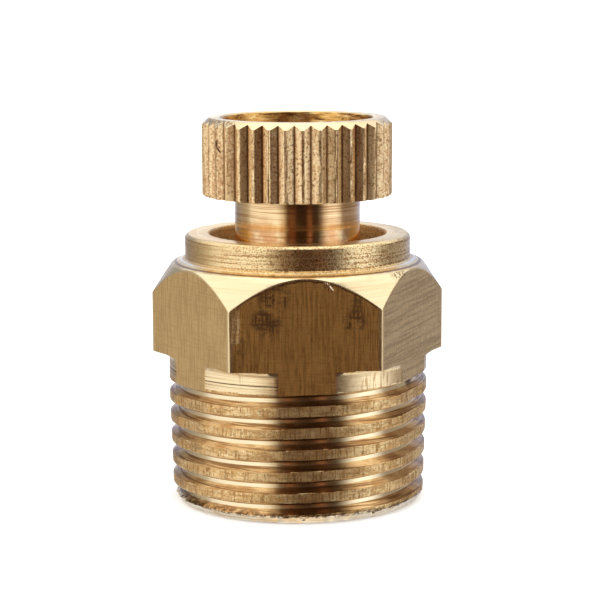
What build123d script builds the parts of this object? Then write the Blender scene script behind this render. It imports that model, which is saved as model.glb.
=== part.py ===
"""Automatic air vent with swelling fibre rings, male 3/8 inch taper thread and a knurled thumb knob.

Millimetres, +Z up. The origin is the centre of the bottom face of the threaded end, on the vent's
axis. The hexagon's flats face +Y and -Y. Everything stands as it does with the knob screwed down.
"""

import os
from math import cos, pi, radians, sin, tan

from build123d import *

# Heights of the valve body, from its bottom face
THREAD_TOP = 8.10
HEX_BOTTOM = 9.395
HEX_CORNER_TOP = 13.15
COLLAR_BASE = 15.417
BODY_TOP = 16.93

# Outside of the valve body
HEX_FLATS = 16.0
HEX_CORNER_R = HEX_FLATS / 2 / cos(radians(30))
LAND_R = 8.19
LAND_FILLET = 0.30
KNEE = (7.96, 15.09)
KNEE_R = 0.20
COLLAR_R = 7.107
COLLAR_CHAMFER = 0.20
END_CHAMFER = 0.47

# Male taper thread: 19 threads per inch, taper 1 in 16 on the diameter, right hand
TAPER_PITCH = 25.4 / 19
TAPER_ANGLE = 1.7899
TAPER_CREST_R = 7.98
TAPER_DEPTH = 0.72
TAPER_GROOVE_TOP = 0.76
TAPER_GROOVE_ROOT = 0.12
TAPER_GROOVE_FRONT = 7.67
TAPER_TURNS = 7.2
TAPER_TURNS_TO_FRONT = 6
TAPER_START_ANGLE = 20.0
TAPER_CUT_OVERSHOOT = 0.30

# Inside of the valve body
COUNTERBORE_R = 5.53
COUNTERBORE_FLOOR = 13.90
RING_GROOVE_R = 6.08
RING_GROOVE_LOW = 14.85
RING_GROOVE_HEIGHT = 0.70
RELIEF_R = 5.10
RELIEF_LOW = 10.10
RELIEF_TOP = 10.85
BORE_MOUTH_CHAMFER = 0.50
NOSE_BORE_R = 4.17
NOSE_BORE_TOP = 9.90
CHAMBER_FLOOR = 8.60
CHECK_SEAT = 7.40
ORIFICE_R = 1.90
INLET_R = 4.60
INLET_CHAMFER = 0.40

# Fine thread between the knob and the body, M10 x 1
KNOB_PITCH = 1.0
MALE_CREST_R = 4.95
MALE_ROOT_R = 4.40
MALE_FLAT = 0.125
FEMALE_CREST_R = 4.50
FEMALE_ROOT_R = 5.05
FLANK_CLEARANCE = 0.06
FLANK_SLOPE = tan(radians(30))
FINE_START_ANGLE = 90.0
FINE_CUT_OVERSHOOT = 0.20
FEMALE_START_BELOW_RELIEF = 0.45
MALE_LOW = 10.40
MALE_TOP = 13.35
MALE_LEAD_IN = 0.50
MALE_TOP_CHAMFER = 0.40
MALE_TOP_STEP = 0.10

# Knob, neck and nose
KNOB_TOP = 24.21
KNOB_BOTTOM = 19.33
KNOB_R = 5.99
KNURL_COUNT = 36
KNURL_DEPTH = 0.30
KNURL_FLAT = 0.17
KNURL_CUT_OVERSHOOT = 0.30
KNOB_TOP_CHAMFER = 0.45
KNOB_BOTTOM_CHAMFER = 0.08
CUP_R = 4.75
CUP_FLOOR = 20.00
INNER_LIP = 0.10
NECK_R = 3.95
NOSE_R = 4.08
NOSE_BOTTOM = CHAMBER_FLOOR + 0.02
NOSE_GROOVE_R = 3.35
NOSE_GROOVE_LOW = 9.00
NOSE_GROOVE_TOP = 9.80
STACK_R = 2.90
STACK_TOP = 18.30

# Rubber rings
NOSE_RING_CORD_R = 0.38
PLUNGER_RING_CORD_R = 0.50
PLUNGER_RING_R = 2.45
NOSE_RING_CLEARANCE = 0.04
PLUNGER_RING_CLEARANCE = 0.01

# Fibre rings and their carrier
CARRIER_BOTTOM = 9.10
CARRIER_FLANGE_R = 2.86
CARRIER_FLANGE_TOP = 9.70
CARRIER_STEM_R = 1.10
CARRIER_SPIGOT_R = 0.90
CARRIER_SPIGOT_TOP = 19.60
CARRIER_BORE_R = 0.45
CARRIER_BORE_FLOOR = 10.40
CARRIER_CROSS_R = 0.25
CARRIER_CROSS_HEIGHTS = (11.2, 13.8, 16.4)
CARRIER_PORT_R = 0.30
CARRIER_PORT_CIRCLE_R = 2.35
CARRIER_PORT_COUNT = 6
FIBRE_RING_COUNT = 10
FIBRE_RING_THICKNESS = 0.80
FIBRE_RING_STEP = (STACK_TOP - CARRIER_FLANGE_TOP) / FIBRE_RING_COUNT
FIBRE_RING_OUTER_R = 2.70
FIBRE_RING_INNER_R = 1.24

# Open spring ring over the threaded head
RETAINER_INNER_R = 4.30
RETAINER_OUTER_R = 6.05
RETAINER_THICKNESS = 0.60
RETAINER_GAP = 2.60

# Check plunger, its spring and the spring's seat
PLUNGER_HEAD_R = 3.35
PLUNGER_HEAD_LOW = 4.00
PLUNGER_HEAD_TOP = 5.60
PLUNGER_GROOVE_FLOOR = 4.86
PLUNGER_GROOVE_OUTER_R = 3.00
PLUNGER_GROOVE_INNER_R = PLUNGER_RING_R - PLUNGER_RING_CORD_R - 0.05
PLUNGER_STEM_R = 1.20
PLUNGER_STEM_TOP = CARRIER_BOTTOM - 0.02
PLUNGER_TAIL_BOTTOM = 0.20
PLUNGER_END_CHAMFER = 0.20
SEAT_LOW = 1.00
SEAT_TOP = 2.20
SEAT_GUIDE_R = 1.25
SEAT_PORT_R = 0.75
SEAT_PORT_CIRCLE_R = 3.60
SEAT_PORT_COUNT = 6
SPRING_MEAN_R = 2.40
SPRING_WIRE_R = 0.175
SPRING_TURNS = 3.5
SPRING_END_GAP = 0.01

os.makedirs("parts", exist_ok=True)


def finish(piece, name):
    """Label a finished piece and write its STEP file."""
    piece.part.label = name
    export_step(piece.part, f"parts/{name}.step")
    print(f"{name}: {piece.part.volume:.2f} mm3, {len(piece.solids())} solid")


def profile(*points):
    """Face through (radius, height) points, ready to be turned about Z."""
    with BuildSketch(Plane.XZ) as section:
        with BuildLine():
            Polyline(*points, close=True)
        make_face()
    return section.sketch


def thread_cutter(path, start_angle, outer_r, inner_r, outer_width, inner_width):
    """Trapezium swept along a helix and turned to start_angle, clear of the seams of turned faces.

    The widths are measured along the axis, at the two radii.
    """
    start = path @ 0
    section_plane = Plane(origin=(0, 0, start.Z), x_dir=(1, 0, 0), z_dir=(0, -1, 0))
    with BuildPart() as cutter:
        with BuildSketch(section_plane):
            with BuildLine():
                Polyline(
                    (inner_r, -inner_width / 2),
                    (outer_r, -outer_width / 2),
                    (outer_r, outer_width / 2),
                    (inner_r, inner_width / 2),
                    close=True,
                )
            make_face()
        sweep(path=path, is_frenet=True)
    return cutter.part.rotate(Axis.Z, start_angle)


# ---------------------------------------------------------------- valve body
# The groove starts in the air below the body, TAPER_START_ANGLE round from +X, and passes the front
# (-Y, 270 degrees round) at TAPER_GROOVE_FRONT in its last turn.
turns_to_front = TAPER_TURNS_TO_FRONT + (270 - TAPER_START_ANGLE) / 360
taper_start = TAPER_GROOVE_FRONT - turns_to_front * TAPER_PITCH
taper_start_r = TAPER_CREST_R + taper_start / 32
taper_path = Helix(
    pitch=TAPER_PITCH,
    height=TAPER_TURNS * TAPER_PITCH,
    radius=taper_start_r,
    center=(0, 0, taper_start),
    cone_angle=TAPER_ANGLE,
)
flank = (TAPER_GROOVE_TOP - TAPER_GROOVE_ROOT) / 2 / TAPER_DEPTH
taper_cutter = thread_cutter(
    taper_path,
    TAPER_START_ANGLE,
    outer_r=taper_start_r + TAPER_CUT_OVERSHOOT,
    inner_r=taper_start_r - TAPER_DEPTH,
    outer_width=TAPER_GROOVE_TOP + 2 * TAPER_CUT_OVERSHOOT * flank,
    inner_width=TAPER_GROOVE_ROOT,
)

female_start = RELIEF_TOP - FEMALE_START_BELOW_RELIEF
female_path = Helix(
    pitch=KNOB_PITCH,
    height=COUNTERBORE_FLOOR - female_start + KNOB_PITCH,
    radius=FEMALE_CREST_R,
    center=(0, 0, female_start),
)
male_flat_at_female_crest = MALE_FLAT + 2 * (MALE_CREST_R - FEMALE_CREST_R) * FLANK_SLOPE
female_width = male_flat_at_female_crest + 2 * FLANK_CLEARANCE
female_depth = FEMALE_ROOT_R - FEMALE_CREST_R
female_cutter = thread_cutter(
    female_path,
    FINE_START_ANGLE,
    outer_r=FEMALE_ROOT_R,
    inner_r=FEMALE_CREST_R - FINE_CUT_OVERSHOOT,
    outer_width=female_width - 2 * female_depth * FLANK_SLOPE,
    inner_width=female_width + 2 * FINE_CUT_OVERSHOOT * FLANK_SLOPE,
)

crest_top = TAPER_CREST_R + THREAD_TOP / 32
cone_slope = (KNEE[1] - HEX_CORNER_TOP) / (HEX_CORNER_R - KNEE[0])
blank_r = HEX_CORNER_R + 0.2

with BuildPart() as valve_body:
    with BuildSketch(Plane.XZ):
        with BuildLine():
            Polyline(
                (0, 0),
                (TAPER_CREST_R - END_CHAMFER, 0),
                (TAPER_CREST_R + END_CHAMFER / 32, END_CHAMFER),
                (crest_top, THREAD_TOP),
                (LAND_R + 0.02, THREAD_TOP + 0.02),
                (LAND_R, HEX_BOTTOM - LAND_FILLET),
            )
            RadiusArc((LAND_R, HEX_BOTTOM - LAND_FILLET), (LAND_R + LAND_FILLET, HEX_BOTTOM), LAND_FILLET)
            Polyline(
                (LAND_R + LAND_FILLET, HEX_BOTTOM),
                (blank_r, HEX_BOTTOM),
                (blank_r, HEX_CORNER_TOP - (blank_r - HEX_CORNER_R) * cone_slope),
                KNEE,
                (COLLAR_R, COLLAR_BASE),
                (COLLAR_R, BODY_TOP - COLLAR_CHAMFER),
                (COLLAR_R - COLLAR_CHAMFER, BODY_TOP),
                (0, BODY_TOP),
                (0, 0),
            )
        make_face()
    revolve(axis=Axis.Z)
    knee_edge = edges().filter_by(GeomType.CIRCLE).sort_by(lambda e: abs(e.center().Z - KNEE[1]))[0]
    fillet(knee_edge, KNEE_R)
    add(taper_cutter, mode=Mode.SUBTRACT)
    with BuildSketch(Plane.XY):
        RegularPolygon(radius=HEX_FLATS / 2, side_count=6, major_radius=False)
    extrude(amount=BODY_TOP, mode=Mode.INTERSECT)
    revolve(
        profile(
            (0, 0),
            (INLET_R + INLET_CHAMFER, 0),
            (INLET_R, INLET_CHAMFER),
            (INLET_R, CHECK_SEAT),
            (ORIFICE_R, CHECK_SEAT),
            (ORIFICE_R, CHAMBER_FLOOR),
            (NOSE_BORE_R, CHAMBER_FLOOR),
            (NOSE_BORE_R, NOSE_BORE_TOP),
            (FEMALE_CREST_R, RELIEF_LOW),
            (RELIEF_R, RELIEF_LOW),
            (RELIEF_R, RELIEF_TOP),
            (FEMALE_CREST_R, RELIEF_TOP),
            (FEMALE_CREST_R, COUNTERBORE_FLOOR - BORE_MOUTH_CHAMFER),
            (FEMALE_CREST_R + BORE_MOUTH_CHAMFER, COUNTERBORE_FLOOR),
            (COUNTERBORE_R, COUNTERBORE_FLOOR),
            (COUNTERBORE_R, RING_GROOVE_LOW),
            (RING_GROOVE_R, RING_GROOVE_LOW),
            (RING_GROOVE_R, RING_GROOVE_LOW + RING_GROOVE_HEIGHT),
            (COUNTERBORE_R, RING_GROOVE_LOW + RING_GROOVE_HEIGHT),
            (COUNTERBORE_R, BODY_TOP - INNER_LIP),
            (COUNTERBORE_R + INNER_LIP, BODY_TOP),
            (0, BODY_TOP),
        ),
        axis=Axis.Z,
        mode=Mode.SUBTRACT,
    )
    add(female_cutter, mode=Mode.SUBTRACT)
finish(valve_body, "valve_body")

# ---------------------------------------------------------------- knob with neck, threaded head and nose
# The male groove lies half a pitch from the female groove, so that ridges and grooves mesh.
male_groove_start = female_start + KNOB_PITCH / 2 - 2 * KNOB_PITCH
male_path = Helix(
    pitch=KNOB_PITCH,
    height=MALE_TOP - male_groove_start + KNOB_PITCH,
    radius=MALE_CREST_R,
    center=(0, 0, male_groove_start),
)
male_width = KNOB_PITCH - MALE_FLAT
male_depth = MALE_CREST_R - MALE_ROOT_R
male_cutter = thread_cutter(
    male_path,
    FINE_START_ANGLE,
    outer_r=MALE_CREST_R + FINE_CUT_OVERSHOOT,
    inner_r=MALE_ROOT_R,
    outer_width=male_width + 2 * FINE_CUT_OVERSHOOT * FLANK_SLOPE,
    inner_width=male_width - 2 * male_depth * FLANK_SLOPE,
)

rib_half_angle = KNURL_FLAT / 2 / KNOB_R
notch_half_width = KNOB_R * sin(pi / KNURL_COUNT - rib_half_angle)
notch_mouth_half = notch_half_width * (KNURL_DEPTH + KNURL_CUT_OVERSHOOT) / KNURL_DEPTH

with BuildPart() as knob_spindle:
    revolve(
        profile(
            (0, NOSE_BOTTOM),
            (NOSE_R, NOSE_BOTTOM),
            (NOSE_R, NOSE_GROOVE_LOW),
            (NOSE_GROOVE_R, NOSE_GROOVE_LOW),
            (NOSE_GROOVE_R, NOSE_GROOVE_TOP),
            (NOSE_R, NOSE_GROOVE_TOP),
            (NOSE_R, MALE_LOW - MALE_LEAD_IN / 2),
            (MALE_CREST_R, MALE_LOW + MALE_LEAD_IN / 2),
            (MALE_CREST_R, MALE_TOP - MALE_TOP_CHAMFER),
            (MALE_ROOT_R - MALE_TOP_STEP, MALE_TOP),
            (NECK_R, MALE_TOP),
            (NECK_R, KNOB_BOTTOM),
            (KNOB_R - KNOB_BOTTOM_CHAMFER, KNOB_BOTTOM),
            (KNOB_R, KNOB_BOTTOM + KNOB_BOTTOM_CHAMFER),
            (KNOB_R, KNOB_TOP - KNOB_TOP_CHAMFER),
            (KNOB_R - KNOB_TOP_CHAMFER, KNOB_TOP),
            (0, KNOB_TOP),
        ),
        axis=Axis.Z,
    )
    # Straight knurl: one V notch between each pair of flat-topped ribs
    with BuildSketch(Plane.XY.offset(KNOB_BOTTOM)):
        with PolarLocations(0, KNURL_COUNT, start_angle=180 / KNURL_COUNT):
            Polygon(
                (KNOB_R - KNURL_DEPTH, 0),
                (KNOB_R + KNURL_CUT_OVERSHOOT, notch_mouth_half),
                (KNOB_R + KNURL_CUT_OVERSHOOT, -notch_mouth_half),
                align=None,
            )
    extrude(amount=KNOB_TOP - KNOB_BOTTOM, mode=Mode.SUBTRACT)
    add(male_cutter, mode=Mode.SUBTRACT)
    # Cup in the top, web with the vent hole, and the bore that holds the fibre rings
    revolve(
        profile(
            (0, NOSE_BOTTOM),
            (STACK_R, NOSE_BOTTOM),
            (STACK_R, STACK_TOP),
            (CARRIER_SPIGOT_R, STACK_TOP),
            (CARRIER_SPIGOT_R, CUP_FLOOR),
            (CUP_R, CUP_FLOOR),
            (CUP_R, KNOB_TOP - INNER_LIP),
            (CUP_R + INNER_LIP, KNOB_TOP),
            (0, KNOB_TOP),
        ),
        axis=Axis.Z,
        mode=Mode.SUBTRACT,
    )
finish(knob_spindle, "knob_spindle")

# ---------------------------------------------------------------- fibre rings on their carrier
with BuildPart() as ring_carrier:
    revolve(
        profile(
            (0, CARRIER_BOTTOM),
            (CARRIER_FLANGE_R, CARRIER_BOTTOM),
            (CARRIER_FLANGE_R, CARRIER_FLANGE_TOP),
            (CARRIER_STEM_R, CARRIER_FLANGE_TOP),
            (CARRIER_STEM_R, STACK_TOP),
            (CARRIER_SPIGOT_R, STACK_TOP),
            (CARRIER_SPIGOT_R, CARRIER_SPIGOT_TOP),
            (CARRIER_BORE_R, CARRIER_SPIGOT_TOP),
            (CARRIER_BORE_R, CARRIER_BORE_FLOOR),
            (0, CARRIER_BORE_FLOOR),
        ),
        axis=Axis.Z,
    )
    # Ports that let water up past the flange to the outside of the rings
    with BuildSketch(Plane.XY.offset(CARRIER_BOTTOM)):
        with PolarLocations(CARRIER_PORT_CIRCLE_R, CARRIER_PORT_COUNT):
            Circle(CARRIER_PORT_R)
    extrude(amount=CARRIER_FLANGE_TOP - CARRIER_BOTTOM, mode=Mode.SUBTRACT)
    # Cross holes that let air from inside the rings into the hollow stem
    for index, height in enumerate(CARRIER_CROSS_HEIGHTS):
        with BuildSketch(Plane.XZ.rotated((0, 0, 90 * index)).offset(-2 * CARRIER_STEM_R)):
            with Locations((0, height)):
                Circle(CARRIER_CROSS_R)
        extrude(amount=4 * CARRIER_STEM_R, mode=Mode.SUBTRACT)
finish(ring_carrier, "ring_carrier")

for number in range(FIBRE_RING_COUNT):
    ring_low = CARRIER_FLANGE_TOP + (FIBRE_RING_STEP - FIBRE_RING_THICKNESS) / 2 + number * FIBRE_RING_STEP
    with BuildPart() as fibre_ring:
        with BuildSketch(Plane.XY.offset(ring_low)):
            Circle(FIBRE_RING_OUTER_R)
            Circle(FIBRE_RING_INNER_R, mode=Mode.SUBTRACT)
        extrude(amount=FIBRE_RING_THICKNESS)
    finish(fibre_ring, f"fibre_ring_{number + 1:02d}")

# ---------------------------------------------------------------- seals
nose_ring_r = NOSE_GROOVE_R + NOSE_RING_CORD_R + NOSE_RING_CLEARANCE
plunger_ring_z = PLUNGER_GROOVE_FLOOR + PLUNGER_RING_CORD_R + PLUNGER_RING_CLEARANCE

with BuildPart() as nose_o_ring:
    with BuildSketch(Plane.XZ):
        with Locations((nose_ring_r, (NOSE_GROOVE_LOW + NOSE_GROOVE_TOP) / 2)):
            Circle(NOSE_RING_CORD_R)
    revolve(axis=Axis.Z)
finish(nose_o_ring, "nose_o_ring")

with BuildPart() as plunger_o_ring:
    with BuildSketch(Plane.XZ):
        with Locations((PLUNGER_RING_R, plunger_ring_z)):
            Circle(PLUNGER_RING_CORD_R)
    revolve(axis=Axis.Z)
finish(plunger_o_ring, "plunger_o_ring")

# ---------------------------------------------------------------- open spring ring
retainer_low = RING_GROOVE_LOW + (RING_GROOVE_HEIGHT - RETAINER_THICKNESS) / 2
retainer_width = RETAINER_OUTER_R - RETAINER_INNER_R

with BuildPart() as retaining_ring:
    with BuildSketch(Plane.XY.offset(retainer_low)):
        Circle(RETAINER_OUTER_R)
        Circle(RETAINER_INNER_R, mode=Mode.SUBTRACT)
        with Locations((0, RETAINER_INNER_R + retainer_width / 2)):
            Rectangle(RETAINER_GAP, 2 * retainer_width, mode=Mode.SUBTRACT)
    extrude(amount=RETAINER_THICKNESS)
finish(retaining_ring, "retaining_ring")

# ---------------------------------------------------------------- check plunger, spring and spring seat
with BuildPart() as check_plunger:
    revolve(
        profile(
            (0, PLUNGER_TAIL_BOTTOM),
            (PLUNGER_STEM_R - PLUNGER_END_CHAMFER, PLUNGER_TAIL_BOTTOM),
            (PLUNGER_STEM_R, PLUNGER_TAIL_BOTTOM + PLUNGER_END_CHAMFER),
            (PLUNGER_STEM_R, PLUNGER_HEAD_LOW),
            (PLUNGER_HEAD_R, PLUNGER_HEAD_LOW),
            (PLUNGER_HEAD_R, PLUNGER_HEAD_TOP),
            (PLUNGER_GROOVE_OUTER_R, PLUNGER_HEAD_TOP),
            (PLUNGER_GROOVE_OUTER_R, PLUNGER_GROOVE_FLOOR),
            (PLUNGER_GROOVE_INNER_R, PLUNGER_GROOVE_FLOOR),
            (PLUNGER_GROOVE_INNER_R, PLUNGER_HEAD_TOP),
            (PLUNGER_STEM_R, PLUNGER_HEAD_TOP),
            (PLUNGER_STEM_R, PLUNGER_STEM_TOP - PLUNGER_END_CHAMFER),
            (PLUNGER_STEM_R - PLUNGER_END_CHAMFER, PLUNGER_STEM_TOP),
            (0, PLUNGER_STEM_TOP),
        ),
        axis=Axis.Z,
    )
finish(check_plunger, "check_plunger")

with BuildPart() as spring_seat:
    with BuildSketch(Plane.XY.offset(SEAT_LOW)):
        Circle(INLET_R)
        Circle(SEAT_GUIDE_R, mode=Mode.SUBTRACT)
        with PolarLocations(SEAT_PORT_CIRCLE_R, SEAT_PORT_COUNT):
            Circle(SEAT_PORT_R, mode=Mode.SUBTRACT)
    extrude(amount=SEAT_TOP - SEAT_LOW)
finish(spring_seat, "spring_seat")

spring_rise = PLUNGER_HEAD_LOW - SEAT_TOP - 2 * (SPRING_WIRE_R + SPRING_END_GAP)
spring_path = Helix(
    pitch=spring_rise / SPRING_TURNS,
    height=spring_rise,
    radius=SPRING_MEAN_R,
    center=(0, 0, SEAT_TOP + SPRING_WIRE_R + SPRING_END_GAP),
)
with BuildPart() as plunger_spring:
    with BuildSketch(Plane(origin=spring_path @ 0, z_dir=spring_path % 0)):
        Circle(SPRING_WIRE_R)
    sweep(path=spring_path, is_frenet=True)
finish(plunger_spring, "plunger_spring")
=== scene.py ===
"""Automatic air vent: turned brass body with a hexagon and a taper thread, and a knurled thumb knob."""

from math import cos, pi, radians, sin, tan

import bmesh
import bpy
import numpy as np
from mathutils import Matrix, Vector


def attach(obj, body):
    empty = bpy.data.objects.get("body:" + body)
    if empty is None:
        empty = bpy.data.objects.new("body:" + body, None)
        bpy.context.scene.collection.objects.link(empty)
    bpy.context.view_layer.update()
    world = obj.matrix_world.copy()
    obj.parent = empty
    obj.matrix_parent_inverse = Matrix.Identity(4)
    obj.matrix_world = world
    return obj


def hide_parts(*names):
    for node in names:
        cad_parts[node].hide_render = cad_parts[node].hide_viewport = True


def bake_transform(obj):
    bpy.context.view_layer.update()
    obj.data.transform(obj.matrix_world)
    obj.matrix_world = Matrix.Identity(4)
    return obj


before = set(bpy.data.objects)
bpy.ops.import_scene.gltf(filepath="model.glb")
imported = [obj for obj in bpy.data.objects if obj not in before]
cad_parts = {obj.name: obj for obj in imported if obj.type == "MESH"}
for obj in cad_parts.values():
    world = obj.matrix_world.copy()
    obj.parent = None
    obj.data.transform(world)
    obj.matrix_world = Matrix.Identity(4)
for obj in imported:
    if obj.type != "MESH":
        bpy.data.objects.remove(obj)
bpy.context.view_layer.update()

scene = bpy.context.scene
MM = 0.001
WELD = 2e-4  # millimetres between points that become one

# ---- sizes, millimetres, as the CAD part has them
THREAD_TOP = 8.10
HEX_BOTTOM = 9.395
HEX_CORNER_TOP = 13.15
COLLAR_BASE = 15.417
BODY_TOP = 16.93
HEX_APOTHEM = 8.0
HEX_CORNER_R = HEX_APOTHEM / cos(radians(30))
LAND_R = 8.19
LAND_FILLET = 0.30
KNEE_R, KNEE_Z = 7.96, 15.09
COLLAR_R = 7.107
COLLAR_CHAMFER = 0.20
END_CHAMFER = 0.47

TAPER_PITCH = 25.4 / 19
TAPER_SLOPE = 1 / 32
TAPER_CREST_R = 7.98
TAPER_DEPTH = 0.72
TAPER_GROOVE_TOP = 0.76
TAPER_GROOVE_ROOT = 0.18
TAPER_GROOVE_FRONT = 7.67

COUNTERBORE_R = 5.53
COUNTERBORE_FLOOR = 13.90
RING_GROOVE_R = 6.08
RING_GROOVE_LOW = 14.85
RING_GROOVE_TOP = 15.55
RELIEF_R = 5.10
RELIEF_LOW = 10.10
RELIEF_TOP = 10.85
NOSE_BORE_R = 4.17
NOSE_BORE_TOP = 9.90
CHAMBER_FLOOR = 8.60
CHECK_SEAT = 7.40
ORIFICE_R = 1.90
INLET_R = 4.60
INLET_CHAMFER = 0.40

KNOB_PITCH = 1.0
MALE_CREST_R = 4.95
MALE_ROOT_R = 4.40
FEMALE_CREST_R = 4.50
FEMALE_ROOT_R = 5.05
FINE_FLANK = tan(radians(30))
CREST_FLAT = KNOB_PITCH / 8
FLANK_GAP = 0.06
FEMALE_GROOVE_FRONT = RELIEF_TOP + 0.05
MALE_GROOVE_FRONT = FEMALE_GROOVE_FRONT + KNOB_PITCH / 2
MALE_LOW = 10.40
MALE_TOP = 13.35

KNOB_TOP = 24.21
KNOB_BOTTOM = 19.33
KNOB_R = 5.99
RIB_COUNT = 36
KNURL_DEPTH = 0.30
KNOB_TOP_CHAMFER = 0.45
KNOB_BOTTOM_CHAMFER = 0.08
CUP_R = 4.75
CUP_FLOOR = 20.00
NECK_R = 3.95
NOSE_R = 4.08
NOSE_BOTTOM = CHAMBER_FLOOR + 0.02
NOSE_GROOVE_R = 3.35
NOSE_GROOVE_LOW = 9.00
NOSE_GROOVE_TOP = 9.80
STACK_R = 2.90
STACK_TOP = 18.30
VENT_R = 0.90

# Cuts in the surface: depth, azimuth, height, half width in degrees, half height
LAND_NICKS = ((0.16, 54, 7.95, 0.9, 0.16), (0.10, 52.6, 8.15, 0.7, 0.14))
ARCH_SCARS = ((0.34, 8.3, 0, 0.35, 1), (0.50, 9.8, 0, 0.30, 1))
RIB_NICKS = ((0.10, -58.6, 22.9, 0.8, 0.14), (0.10, -57.6, 22.6, 0.7, 0.12))
# Azimuth and lowest height of the torn strip on the hexagon's front left corner
TORN_CORNER, TORN_ABOVE = -28.2, 11.1
# Angles of the extra columns of points at the front arch's scars
SCAR_COLUMNS = 270.0 + np.arange(7.4, 11.0, 0.3)


# ---- small tools for shape
def link(name, data):
    """A new object in the scene."""
    item = bpy.data.objects.new(name, data)
    scene.collection.objects.link(item)
    return item


def smooth(t):
    """0 below 0, 1 above 1, smooth in between."""
    t = np.clip(t, 0.0, 1.0)
    return t * t * (3 - 2 * t)


def wobble(theta, height, cells_round, cell_height, seed):
    """Smooth noise from -1 to 1 over the angle, where it closes on itself, and the height."""
    rows = 64
    grid = np.random.default_rng(seed).uniform(-1, 1, (rows, cells_round))
    u, v = np.broadcast_arrays(theta / (2 * pi) * cells_round, np.asarray(height) / cell_height)
    column, row = np.floor(u).astype(int), np.floor(v).astype(int)
    across, up = smooth(u - column), smooth(v - row)

    def level(step):
        here = grid[(row + step) % rows, column % cells_round]
        there = grid[(row + step) % rows, (column + 1) % cells_round]
        return here * (1 - across) + there * across

    return level(0) * (1 - up) + level(1) * up


def dent(theta, height, azimuth, level, half_width, half_height):
    """1 at a place on the outside, 0 away from it. Azimuth 0 is the front and positive is towards +X."""
    away = (np.degrees(theta) + 90 - azimuth + 180) % 360 - 180
    return np.exp(-((away / half_width) ** 2) - (((height - level) / half_height) ** 2))


def cuts(theta, height, places):
    """Depth of several cuts together."""
    return sum(depth * dent(theta, height, *place) for depth, *place in places)


def grids(rows, columns):
    """Radius and height of (radius, height) rows, as two arrays of rows by columns."""
    return [np.array([np.broadcast_to(v, columns) for v in values], float) for values in zip(*rows)]


class Skin:
    """Bands of quads round the axis, welded into one closed mesh. Sizes are in millimetres."""

    def __init__(self, theta):
        self.theta = theta
        self.points, self.quads, self.zones = [], [], []
        self.count = 0

    def band(self, rows, zone, shift=0, theta=None):
        """Rows are (radius, height) pairs, each a number or one value per column.

        The last column joins the first, shift rows higher, which is how a thread closes on itself.
        A band may have its own angles, theta.
        """
        theta = self.theta if theta is None else theta
        columns = len(theta)
        radius, height = grids(rows, columns)
        x, y = radius * np.cos(theta), radius * np.sin(theta)
        self.points.append(np.stack([x, y, height], -1).reshape(-1, 3))
        last = len(rows) - 1
        zone = np.broadcast_to(zone, (len(rows), columns))
        for row in range(last):
            for column in range(columns):
                step, lift = (column + 1, 0) if column + 1 < columns else (0, shift)
                low, high = min(row + lift, last), min(row + 1 + lift, last)
                corners = ((row, column), (low, step), (high, step), (row + 1, column))
                self.quads.append([self.count + r * columns + c for r, c in corners])
                self.zones.append(int(zone[row, column]))
        self.count += len(rows) * columns

    def build(self, name, materials, sharp_degrees=28):
        """The welded mesh as an object in metres."""
        mesh = bpy.data.meshes.new(name)
        mesh.from_pydata(np.concatenate(self.points).tolist(), [], self.quads)
        mesh.polygons.foreach_set("material_index", np.array(self.zones, np.int32))
        bm = bmesh.new()
        bm.from_mesh(mesh)
        bmesh.ops.remove_doubles(bm, verts=bm.verts, dist=WELD)
        bmesh.ops.dissolve_degenerate(bm, edges=bm.edges, dist=WELD)
        bmesh.ops.recalc_face_normals(bm, faces=bm.faces)
        bmesh.ops.scale(bm, vec=(MM, MM, MM), verts=bm.verts)
        bm.to_mesh(mesh)
        bm.free()
        mesh.polygons.foreach_set("use_smooth", np.ones(len(mesh.polygons), bool))
        mesh.set_sharp_from_angle(angle=radians(sharp_degrees))
        for material in materials:
            mesh.materials.append(material)
        return link(name, mesh)


def rounded(points, radius, steps=3):
    """(radius, height) points with each inner corner replaced by a short arc of about that radius."""
    out = [points[0]]
    for before, here, after in zip(points, points[1:], points[2:]):
        b, h, a = (np.array(p, float) for p in (before, here, after))
        to_before, to_after = b - h, a - h
        cut = min(radius, np.linalg.norm(to_before) * 0.45, np.linalg.norm(to_after) * 0.45)
        start = h + to_before / np.linalg.norm(to_before) * cut
        end = h + to_after / np.linalg.norm(to_after) * cut
        for t in np.linspace(0, 1, steps):
            out.append(tuple(start * (1 - t) ** 2 + h * 2 * t * (1 - t) + end * t * t))
    return out + [points[-1]]


def helix_place(theta, height, pitch, front_height):
    """Distance along the axis from the nearest groove's centre, and that groove's turns past the front, -Y.

    The groove is right-hand and passes the front at front_height.
    """
    round_front = theta / (2 * pi) - 0.75
    turns = round_front + np.round((height - front_height) / pitch - round_front)
    return height - front_height - pitch * turns, turns


def both_sides(half, pitch):
    """Offsets over one pitch, from those on one side of a groove's centre."""
    return [-s for s in half[:0:-1]] + half + [pitch / 2]


def thread_rows(theta, pitch, front_height, low, high, steps, radius_at):
    """Rows that follow a right-hand helix, cut off level at low and high.

    steps are offsets along the axis from a groove's centre, over one pitch.
    """
    start = front_height - pitch * 0.75
    first = int(np.floor((low - pitch - start) / pitch)) - 1
    last = int(np.ceil((high - start) / pitch)) + 1
    rows = []
    for turn in range(first, last + 1):
        for offset in steps:
            height = np.clip(start + pitch * (turn + theta / (2 * pi)) + offset, low, high)
            rows.append((radius_at(theta, height), height))
    return rows


# ---- valve body
# Zones, in the order of each piece's materials
CREST, GROOVE, FRONT, BACK, LEFT, RIGHT, CONE, COLLAR = range(8)
MOUTH, INSIDE, FOOT, EDGE, LAND, BURR_SHADOW, STEP = range(8, 15)
KNURL, RIM, CUP, NECK, HEAD = range(5)


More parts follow.
